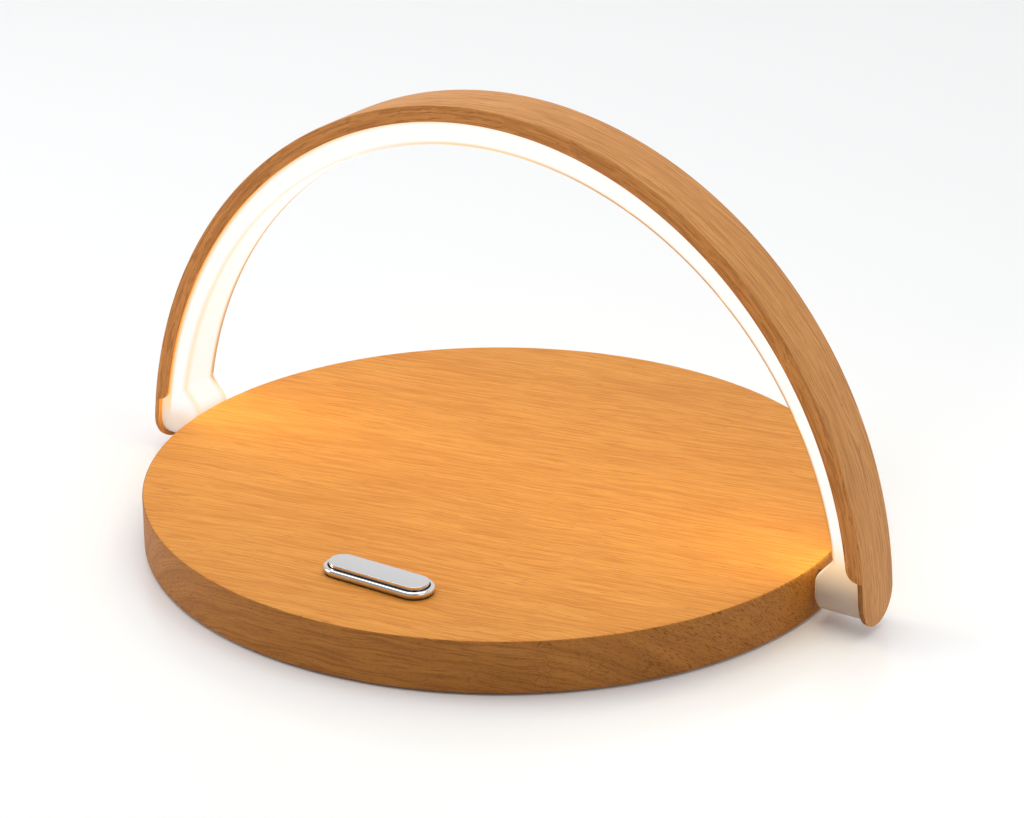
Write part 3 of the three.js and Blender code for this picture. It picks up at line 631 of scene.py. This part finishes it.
finishes = {
    "opal_light": opal(),
    "black_plastic": plain("black_plastic", (0.022, 0.022, 0.024), 0.55, grain=0.15),
    "white_plastic": plain("white_plastic", (0.72, 0.70, 0.66), 0.45),
    "foot_rubber": plain("foot_rubber", (0.035, 0.035, 0.038), 0.85, grain=0.2, depth=0.00005),
    "fastener_steel": plain("fastener_steel", (0.52, 0.53, 0.55), 0.3, 1.0, 0.08),
    "hinge_steel": brushed("hinge_steel", (0.6, 0.61, 0.63), 0.3),
    "bush_bronze": plain("bush_bronze", (0.34, 0.14, 0.03), 0.6, 0.0, 0.1, Specular_IOR_Level=0.1),
    "coil_copper": winding("coil_copper"),
    "ferrite": plain("ferrite", (0.04, 0.04, 0.046), 0.75, grain=0.25, depth=0.00004),
    "circuit_board": board("circuit_board"),
    "chip_black": plain("chip_black", (0.014, 0.014, 0.016), 0.42, grain=0.2),
    "capacitor_tan": plain("capacitor_tan", linear(168, 124, 78), 0.5, grain=0.15),
    "insert_aluminium": brushed("insert_aluminium", (0.8, 0.81, 0.82), 0.34),
}


# ---- Disc ----
def base_cover():
    """The oak disc: turned, with its key slot, hinge bores, inlet slot and nut pockets cut out."""
    r, e = DISC_R, TOP_EDGE
    wall = r - RIM_WALL
    ceiling = TOP_Z - TOP_THICK
    profile = [(0, TOP_Z), (r * 0.5, TOP_Z), (r - 3 * e, TOP_Z)]
    profile += arc(r - e, TOP_Z - e, e, 90, 0)
    profile += [(r, TOP_Z - 3 * e), (r, UNDER_Z + 2 * e)]
    profile += arc(r - 0.6 * e, UNDER_Z + 0.6 * e, 0.6 * e, 0, -90, 4)
    profile += arc(wall + 0.5 * e, UNDER_Z + 0.5 * e, 0.5 * e, -90, -180, 3)
    profile += [(wall, ceiling), (0, ceiling)]
    obj = lathe("oak_disc", profile, DISC_SEGMENTS)
    key_place = Matrix.Translation(((bezel_lo.x + bezel_hi.x) / 2, (bezel_lo.y + bezel_hi.y) / 2, 0))
    slot_inset = 2 * (KEY_RIM - CAP_GAP - KEY_COLLAR - SLOT_EASE)
    length = bezel_hi.x - bezel_lo.x - slot_inset
    width = bezel_hi.y - bezel_lo.y - slot_inset
    tools = [
        pill_lathe("tool", length, width, [(0, ceiling - MM), (0, TOP_Z + MM)], True, place=key_place),
        rod(BUSH_R, wall - 2 * MM, r - BUSH_COVER),
        rod(BUSH_R, BUSH_COVER - r, 2 * MM - wall),
        rod(SHAFT_R + SHAFT_EASE, r - 2 * MM, r + 2 * MM),
        rod(SHAFT_R + SHAFT_EASE, -r - 2 * MM, 2 * MM - r),
        rear_slot(INLET_EASE, wall - 4 * MM, r + 2 * MM),
        hinge_pocket(1),
        hinge_pocket(-1),
    ]
    boolean(obj, tools, sharp=35)
    obj.data.materials.clear()
    obj.data.materials.append(oak_top)
    obj.data.materials.append(oak_rim)
    for face in obj.data.polygons:
        face.material_index = 0 if face.normal.z > 0.75 and face.center.z > ceiling + MM else 1
    return settle(obj, "oak_disc", "base", "oak_cover", oak_top, "base_cover")


def along_y():
    """Turns a shape lofted along Z so that it points along +Y, at the inlet's height."""
    height = (inlet_lo.z + inlet_hi.z) / 2
    return Matrix.Translation((0, 0, height)) @ Matrix.Rotation(-math.pi / 2, 4, "X")


def hinge_pocket(side):
    """The hollow in the ceiling that a hinge's nut and washers turn in."""
    lo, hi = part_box("hinge_shaft_right")
    near, far = lo.x - MM, DISC_R - RIM_WALL - POCKET_INSET
    rings = []
    for z in (TOP_Z - TOP_THICK - MM, hi.z + POCKET_EASE):
        corners = ((near, -1), (far, -1), (far, 1), (near, 1))
        rings.append([(side * x, side * y * POCKET_HALF, z) for x, y in corners])
    verts, faces = loft(rings)
    return make_mesh("tool", verts, faces + [(3, 2, 1, 0), (4, 5, 6, 7)])


def rear_slot(grow, start, end):
    """The tool that cuts the inlet's slot, grow larger than the inlet all round."""
    length = inlet_hi.x - inlet_lo.x + 2 * grow
    width = inlet_hi.z - inlet_lo.z + 2 * grow
    return pill_lathe("tool", length, width, [(0, start), (0, end)], True, place=along_y())


base_cover()


# ---- Arch ----
def side_points(points, low):
    """Both halves of a cross-section from the (depth, reach) points of its positive half, at a
    height low below the hinge axis (0 or less), where the round end narrows it."""
    drop = -min(low, 0.0)
    half = []
    for depth, reach in points:
        y = math.sqrt(max(reach * reach - drop * drop, 0.0))
        if half and reach <= drop:
            depth = min(depth, half[-1][0])
            y = 0.0
        half.append((depth, y))
    return half + [(d, -y) for d, y in reversed(half)]


def fillet(depth, reach, radius, low, inner, steps=4):
    """(depth, reach) points round an edge. inner is False for the edge that depth starts at, and
    True for the one that it ends at."""
    drop = -min(low, 0.0)
    start = 0.0
    if drop > reach - radius:
        start = math.asin(min(1.0, max(0.0, 1 - (reach - drop) / radius)))
    angles = [start + (math.pi / 2 - start) * i / steps for i in range(steps + 1)]
    points = [
        (radius * (1 - math.cos(a)), reach - radius + radius * math.sin(a)) for a in angles
    ]
    if not inner:
        return [(depth + d, y) for d, y in points]
    return [(depth - d, y) for d, y in reversed(points)]


def ellipse(depth_side, depth_top, t):
    """(x, height) on the arch's outline, moved inwards at its sides and at its top."""
    return (ARCH_A - depth_side) * math.cos(t), (ARCH_B - depth_top) * math.sin(t) - ARCH_DROP


def ellipse_t(depth_top, height):
    """The parameter on the right side, at a height over the hinge axis, of the arch's outline as
    moved inwards by depth_top at its top."""
    return math.asin((height + ARCH_DROP) / (ARCH_B - depth_top))


def lip_depth(height):
    """How deep the shell's side is at a height: the skin alone at the hub, the lip above it."""
    if height <= LIP_END:
        return SKIN
    if height >= LIP_END + LIP_ROUND:
        return LIP_DEPTH
    rise = 1 - (height - LIP_END) / LIP_ROUND
    return max(SKIN, LIP_DEPTH - LIP_ROUND + LIP_ROUND * math.sqrt(1 - rise * rise))


def band_stations(radius, marks, steps):
    """(height, t) of the rings of the right half, from the bottom of the round end to the apex.
    Below the last mark they are level."""
    low = [-radius * math.cos(math.pi / 2 * i / END_STEPS) for i in range(END_STEPS)] + list(marks)
    start = ellipse_t(0, marks[-1])
    high = [start + (math.pi / 2 - start) * i / steps for i in range(1, steps + 1)]
    return low, high


def shell_rings():
    """The oak shell's sections, each with its grain notes: distance along, across and depth."""
    quarter = [LIP_END + LIP_ROUND * (1 - math.cos(math.pi / 2 * i / 10)) for i in range(11)]
    marks = [0.0, 2 * MM, 4 * MM, LIP_END - 0.01 * MM, *quarter]
    low, high = band_stations(BAND_R, marks, SHELL_STEPS)
    start = ellipse_t(0, low[-1])
    rings = []
    travelled = 0.0
    before = None
    for h, t in [(h, None) for h in low] + [(None, t) for t in high]:
        height = h if h is not None else ABOVE_LIPS
        deep = lip_depth(height)
        half = fillet(0.0, BAND_R, BAND_EDGE, height, False)
        half += fillet(deep, BAND_R, 0.2 * MM, height, True, 3)
        wall = BAND_R - LIP_WALL
        half += [(max(SKIN, deep), wall + 0.15 * MM), (max(SKIN, deep - 0.15 * MM), wall), (SKIN, wall)]
        ring, note = [], []
        points = side_points(half, height)
        middle = ellipse(0, 0, t if t is not None else ellipse_t(0, h))
        travelled += 0.0 if before is None else math.dist(before, middle)
        before = middle
        for depth, y in points:
            if t is None:
                at = ellipse_t(depth, h)
                x, z = ellipse(depth, depth, at)[0], h
            else:
                level = ellipse_t(depth, low[-1])
                share = (t - start) / (math.pi / 2 - start)
                x, z = ellipse(depth, depth, level + (math.pi / 2 - level) * share)
            ring.append((x, y, z + AXIS_Z))
            note.append((travelled, y, depth))
        rings.append((ring, note))
    return rings


def both_sides(rings):
    """Carries the right half's rings over the apex and down the left side."""
    total = rings[-1][1][0][0] * 2
    left = []
    for ring, note in reversed(rings[:-1]):
        left.append(
            ([(-x, y, z) for x, y, z in ring], [(total - s, y, d) for s, y, d in note])
        )
    return rings + left


def build_band(name, rings, layer_name):
    """A closed mesh through the rings, with their notes as a point attribute."""
    verts, faces = loft([r for r, _ in rings])
    mesh = bpy.data.meshes.new(name)
    mesh.from_pydata(verts, [], faces)
    values = np.array([v for _, note in rings for v in note], np.float32)
    layer = mesh.attributes.new(layer_name, "FLOAT_VECTOR", "POINT")
    layer.data.foreach_set("vector", values.ravel())
    obj = bpy.data.objects.new(name, mesh)
    bpy.context.scene.collection.objects.link(obj)
    tidy(obj, 2e-6)
    smooth(obj, 30)
    return obj


def arch_shell():
    """The oak arch. Its slots are the outside, the lips, the inside, which glows with painted light, and
    the skin's edge in painted shade.
    """
    obj = build_band("oak_arch", both_sides(shell_rings()), "grain")
    obj.data.materials.append(oak_band)
    obj.data.materials.append(oak_lip)
    obj.data.materials.append(oak_lit)
    obj.data.materials.append(oak_shaded_edge)
    for face in obj.data.polygons:
        outward = face.center - Vector((0, face.center.y, AXIS_Z - ARCH_DROP))
        # painted shade: below the lip end, the skin's edge on the right front and the left rear takes the
        # darker tone
        shaded_under_lip = face.center.z < AXIS_Z + LIP_END and face.center.x * face.center.y < 0
        if abs(face.normal.y) > 0.7:
            face.material_index = 3 if shaded_under_lip else 1
        elif face.normal.dot(outward) < 0:
            # the inside faces take the oak with painted glowing light
            face.material_index = 2
    return settle(obj, "oak_arch", "arch", "oak_arch", oak_band, "arch_shell")


def flare_x(height):
    """The light's inner face beside the hub, as x over the height above the hinge axis."""
    band_x = (ARCH_A - OPAL_SIDE) * math.cos(ellipse_t(OPAL_TOP, max(height, 0)))
    if height >= FLARE_HIGH + FLARE_CORNER:
        return band_x
    top_x = (ARCH_A - OPAL_SIDE) * math.cos(ellipse_t(OPAL_TOP, FLARE_HIGH))
    slope = (top_x - HUB_FACE) / (FLARE_HIGH - FLARE_LOW)

    def corner(h, at, before, after, size):
        """Slope change at a height, rounded over size to each side."""
        if h <= at - size:
            return before * (h - at)
        if h >= at + size:
            return after * (h - at)
        s = (h - at + size) / (2 * size)
        return before * (h - at) + (after - before) * size * s * s

    low = HUB_FACE + corner(height, FLARE_LOW, 0.0, slope, 1.6 * MM)
    rise = corner(height, FLARE_HIGH, 0.0, -slope, FLARE_CORNER)
    return low + rise


def opal_rings():
    """The light's sections, each with its notes: distance from the rounded edge, depth, height."""
    slope_marks = [(1.0 + 0.5 * i) * MM for i in range(22)]
    marks = [0.0, 0.5 * MM, *slope_marks]
    low, high = band_stations(OPAL_R, marks, OPAL_STEPS)
    start = ellipse_t(0, low[-1])
    back_start = ellipse_t(OPAL_BACK, low[-1])
    face_start = ellipse_t(OPAL_TOP, low[-1])
    rings = []
    for h, t in [(h, None) for h in low] + [(None, t) for t in high]:
        height = h if h is not None else ABOVE_LIPS
        if t is None:
            back = (ellipse(OPAL_BACK, OPAL_BACK, ellipse_t(OPAL_BACK, h))[0], h)
            face = (flare_x(h), h)
        else:
            share = (t - start) / (math.pi / 2 - start)
            back = ellipse(OPAL_BACK, OPAL_BACK, back_start + (math.pi / 2 - back_start) * share)
            face = ellipse(OPAL_SIDE, OPAL_TOP, face_start + (math.pi / 2 - face_start) * share)
        thick = math.dist(back, face)
        half = [(0.0, OPAL_R)]
        half += fillet(thick, OPAL_R, OPAL_ROUND, height, True, 6)
        half += [(thick, OPAL_R - inset * MM) for inset in (1.8, 2.8, 4.2, 6.2, 8.2)]
        points = side_points_end(half, height)
        ring, note = [], []
        for depth, y in points:
            k = depth / thick
            x = back[0] + (face[0] - back[0]) * k
            z = back[1] + (face[1] - back[1]) * k
            ring.append((x, y, z + AXIS_Z))
            round_at = OPAL_R - OPAL_ROUND / 2
            edge = round_at - abs(y) if depth > thick - 0.3 * MM else depth - (thick - 0.3 * MM)
            note.append((edge, OPAL_BACK + depth, z))
        rings.append((ring, note))
    left = [([(-x, y, z) for x, y, z in ring], note) for ring, note in reversed(rings[:-1])]
    return rings + left


def side_points_end(points, low):
    """As side_points, for a section whose rounded edge comes last."""
    drop = -min(low, 0.0)
    half = [(depth, math.sqrt(max(reach * reach - drop * drop, 0.0))) for depth, reach in points]
    return half + [(d, -y) for d, y in reversed(half)]


def light_diffuser():
    """The opal band, bored for the inserts and the shafts."""
    obj = build_band("opal_band", opal_rings(), "light")
    tools = [
        rod(INSERT_R, INSERT_X, shell_hi.x + 3 * MM),
        rod(INSERT_R, -shell_hi.x - 3 * MM, -INSERT_X),
        rod(SHAFT_R + SHAFT_EASE, HUB_FACE - MM, INSERT_X + MM),
        rod(SHAFT_R + SHAFT_EASE, -INSERT_X - MM, MM - HUB_FACE),
    ]
    boolean(obj, tools, sharp=30)
    return settle(obj, "opal_band", "arch", "opal_light", finishes["opal_light"], "light_diffuser")


def rim_bushes():
    """Bronze bushes round the hinge shafts, pressed in from inside so that thin wood covers them."""
    for side, word in ((1, "right"), (-1, "left")):
        lo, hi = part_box("rim_bush_" + word)
        inner = min(abs(lo.x), abs(hi.x))
        outer = DISC_R - BUSH_COVER - 0.05 * MM
        bore, wall, ease = SHAFT_R + 0.15 * MM, BUSH_R - 0.1 * MM, 0.25 * MM
        profile = [(bore, inner), (wall, inner), (wall, outer - ease), (wall - ease, outer)]
        profile += [(bore + ease, outer), (bore, outer - ease)]
        turn = Matrix.Translation((0, 0, AXIS_Z)) @ Matrix.Rotation(side * math.pi / 2, 4, "Y")
        bush = lathe("bush", profile, BUSH_SEGMENTS, place=turn)
        node = "rim_bush_" + word
        settle(bush, "bush_" + word, "base", "bush_bronze", finishes["bush_bronze"], node)


arch_shell()
light_diffuser()
rim_bushes()


# ---- Key ----
def key_parts():
    """The chrome ring standing on the wood, and the raised cap inside it."""
    middle = Vector(((bezel_lo.x + bezel_hi.x) / 2, (bezel_lo.y + bezel_hi.y) / 2, 0))
    place = Matrix.Translation(middle)
    length, width = bezel_hi.x - bezel_lo.x, bezel_hi.y - bezel_lo.y
    top, seat = bezel_hi.z, TOP_Z + 0.1 * MM
    hole = KEY_RIM - CAP_GAP
    collar = hole - KEY_COLLAR
    shoulder, lip = 0.75 * MM, 0.12 * MM
    undercut, foot = 0.45 * MM, 0.3 * MM
    tuck = top - shoulder - seat - foot
    profile = [(undercut, seat), (undercut, seat + foot)]
    profile += [(0.6 * undercut * (1 - z), seat + foot + tuck * z) for _, z in arc(0, 0, 1, 8, 90, 5)]
    profile += [(shoulder - x, top - shoulder + z) for x, z in arc(0, 0, shoulder, 9, 90, 10)]
    profile += [(hole - lip + x, top - lip + z) for x, z in arc(0, 0, lip, 90, 0, 4)]
    profile += [(hole, bezel_lo.z), (collar, bezel_lo.z), (collar, seat)]
    bezel = pill_lathe("key_ring", length, width, profile, False, place=place, steps=28)
    # painted shade: the ring darkens towards its foot, for the contact shadow on the wood
    ring_chrome = chrome("ring_chrome", seat, seat + 1.3 * MM, (0.16, 0.12, 0.09))
    settle(bezel, "key_ring", "base", "key_chrome", ring_chrome, "key_bezel")

    high = cap_hi.z
    flange = 0.6 * MM
    skirt = cap_lo.z + 0.9 * MM
    r = 0.12 * MM
    profile = [(-flange, cap_lo.z), (-flange, skirt), (0, skirt)]
    profile += [(r - x, high - r + z) for x, z in arc(0, 0, r, 0, 90, 6)]
    cap_length, cap_width = length - 2 * KEY_RIM, width - 2 * KEY_RIM
    cap = pill_lathe("key_top", cap_length, cap_width, profile, True, place=place, steps=28)
    # painted shade: the cap's side wall darkens below its top, in place of a dark reflection
    cap_chrome = chrome("cap_chrome", high - 0.9 * MM, high - 0.35 * MM, (0.22, 0.20, 0.19))
    settle(cap, "key_top", "key", "key_chrome", cap_chrome, "key_cap")


key_parts()


# ---- CAD nodes that stay, by the slot of their finish ----
slot_words = {
    "foot_": "foot_rubber",
    "bottom_plate": "black_plastic",
    "charging_coil": "coil_copper",
    "coil_lead": "coil_copper",
    "ferrite_sheet": "ferrite",
    "power_inductor": "ferrite",
    "coil_holder": "white_plastic",
    "coil_connector": "white_plastic",
    "light_connector": "white_plastic",
    "light_lead": "white_plastic",
    "switch_plunger": "white_plastic",
    "led_strip": "white_plastic",
    "main_board": "circuit_board",
    "key_board_screw": "fastener_steel",
    "key_board": "circuit_board",
    "board_screw": "fastener_steel",
    "coil_screw": "fastener_steel",
    "plate_screw": "fastener_steel",
    "bracket_screw": "fastener_steel",
    "inlet_socket": "fastener_steel",
    "inlet_tongue": "chip_black",
    "charger_chip": "chip_black",
    "led_driver_chip": "chip_black",
    "coil_capacitor": "capacitor_tan",
    "tact_switch": "black_plastic",
    "hinge_bracket": "hinge_steel",
    "hinge_shaft": "hinge_steel",
    "hinge_nut": "hinge_steel",
    "spring_washer": "hinge_steel",
    "friction_washer": "bush_bronze",
    "rim_bush": "bush_bronze",
    "led_carrier": "insert_aluminium",
    "hub_insert": "insert_aluminium",
}
for node_name, node in frame["nodes"].items():
    if node.hide_render:
        continue
    word = next(w for w in slot_words if node_name.startswith(w))
    slot_name = slot_words[word]
    node.data.materials.clear()
    node.data.materials.append(finishes[slot_name])


# ---- Floor, light and surroundings ----
FLOOR_SIZE = 6.0
FLOOR_DROP = 0.02 * MM
WORLD_SPREAD = 0.8
WORLD_FRONT = 0.30
WORLD_BACK = 0.76
ARCH_LAMPS = 7
ARCH_LAMP_STEP = math.radians(19)
ARCH_LAMP_POWER = 0.0078
WARM_LIGHT = (1.0, 0.78, 0.20)


def floor():
    """A pale glossy floor, made slightly brighter to the right and far behind, as in the photo."""
    signs = ((-1, -1), (1, -1), (1, 1), (-1, 1))
    corners = [(x * FLOOR_SIZE, y * FLOOR_SIZE, -FLOOR_DROP) for x, y in signs]
    obj = make_mesh("floor", corners, [(0, 1, 2, 3)])
    n = Nodes("floor")
    across, away, _ = n.split(n.object_space())
    # painted light: the floor glows brighter to the right, over the shadow that the left lamp casts there,
    # and far behind
    painted_floor_light = n.math("ADD", n.ramp(across, 0.05, 0.16, 0.0, 0.11), n.ramp(away, 0.2, 2.0, 0.0, 0.05))
    n.set(Base_Color=(0.955, 0.965, 0.972), Roughness=0.16)
    n.set(Emission_Color=(1.0, 1.0, 1.0), Emission_Strength=painted_floor_light)
    n.set(Specular_IOR_Level=0.3)
    obj.data.materials.append(n.material)


def area(name, place, aim, size, power, colour=(1, 1, 1)):
    """A rectangular lamp at place that shines towards aim."""
    data = bpy.data.lights.new(name, "AREA")
    data.shape = "RECTANGLE"
    data.size, data.size_y = size
    data.energy = power
    data.color = colour
    obj = bpy.data.objects.new(name, data)
    obj.location = place
    obj.rotation_euler = (Vector(aim) - Vector(place)).to_track_quat("-Z", "Y").to_euler()
    bpy.context.scene.collection.objects.link(obj)
    return obj


def surroundings():
    """A studio that is brighter behind the object than in front of it."""
    world = bpy.data.worlds.new("studio")
    world.use_nodes = True
    tree = world.node_tree
    where = tree.nodes.new("ShaderNodeTexCoord")
    parts = tree.nodes.new("ShaderNodeSeparateXYZ")
    level = tree.nodes.new("ShaderNodeMapRange")
    level.inputs["From Min"].default_value = -WORLD_SPREAD
    level.inputs["From Max"].default_value = WORLD_SPREAD
    level.inputs["To Min"].default_value = WORLD_FRONT
    level.inputs["To Max"].default_value = WORLD_BACK
    tree.links.new(where.outputs["Generated"], parts.inputs[0])
    tree.links.new(parts.outputs[1], level.inputs["Value"])
    tree.links.new(level.outputs[0], tree.nodes["Background"].inputs["Strength"])
    tree.nodes["Background"].inputs["Color"].default_value = (1, 1, 1, 1)
    bpy.context.scene.world = world
    area("overhead", (-0.2, 0.1, 1.5), (0, 0, 0), (1.6, 1.6), 13)
    area("left_box", (-0.9, -0.45, 0.35), (-0.1, 0, 0.03), (0.5, 0.5), 3.2)
    area("right_box", (1.0, -0.35, 0.35), (0.1, 0, 0.0), (0.6, 0.6), 0.8)
    camera_card()
    glow_lamp("hub_glow", (0.098, -0.002, TOP_Z + 0.016), 0.05, (0.02, 0.03), 0.0045, WARM_LIGHT)
    glow_lamp("hub_glow", (-0.092, -0.002, TOP_Z + 0.018), -0.05, (0.03, 0.07), 0.009, WARM_LIGHT)
    for i in range(ARCH_LAMPS):
        step = i - ARCH_LAMPS // 2
        x, z = ellipse(OPAL_SIDE + MM, OPAL_TOP + MM, math.pi / 2 - step * ARCH_LAMP_STEP)
        glow_lamp("arch_glow", (x, 0, z + AXIS_Z), x * 0.6, (0.02, 0.02), ARCH_LAMP_POWER, WARM_LIGHT)


def camera_card():
    """A dark card beyond the camera, which only polished metal shows."""
    half_width, half_height = 0.2, 0.25
    signs = ((-1, -1), (1, -1), (1, 1), (-1, 1))
    corners = [(x * half_width, y * half_height, 0) for x, y in signs]
    obj = make_mesh("camera_card", corners, [(0, 1, 2, 3)])
    place = Vector((0.62, -0.95, 0.52))
    obj.matrix_world = Matrix.Translation(place) @ place.to_track_quat("Z", "Y").to_matrix().to_4x4()
    n = Nodes("camera_card")
    n.set(Base_Color=(0.01, 0.01, 0.01), Roughness=0.9)
    obj.data.materials.append(n.material)
    obj.visible_camera = False
    obj.visible_diffuse = False
    obj.visible_shadow = False


def glow_lamp(name, place, aim_x, size, power, colour):
    """A small lamp on the arch that adds the light strip's warm light to the disc."""
    lamp = area(name, place, (aim_x, 0, TOP_Z), size, power, colour)
    lamp.visible_camera = False
    lamp.visible_glossy = False
    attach(lamp, "arch")


floor()
surroundings()
bpy.context.scene.view_settings.view_transform = "Standard"
bpy.context.scene.view_settings.look = "None"
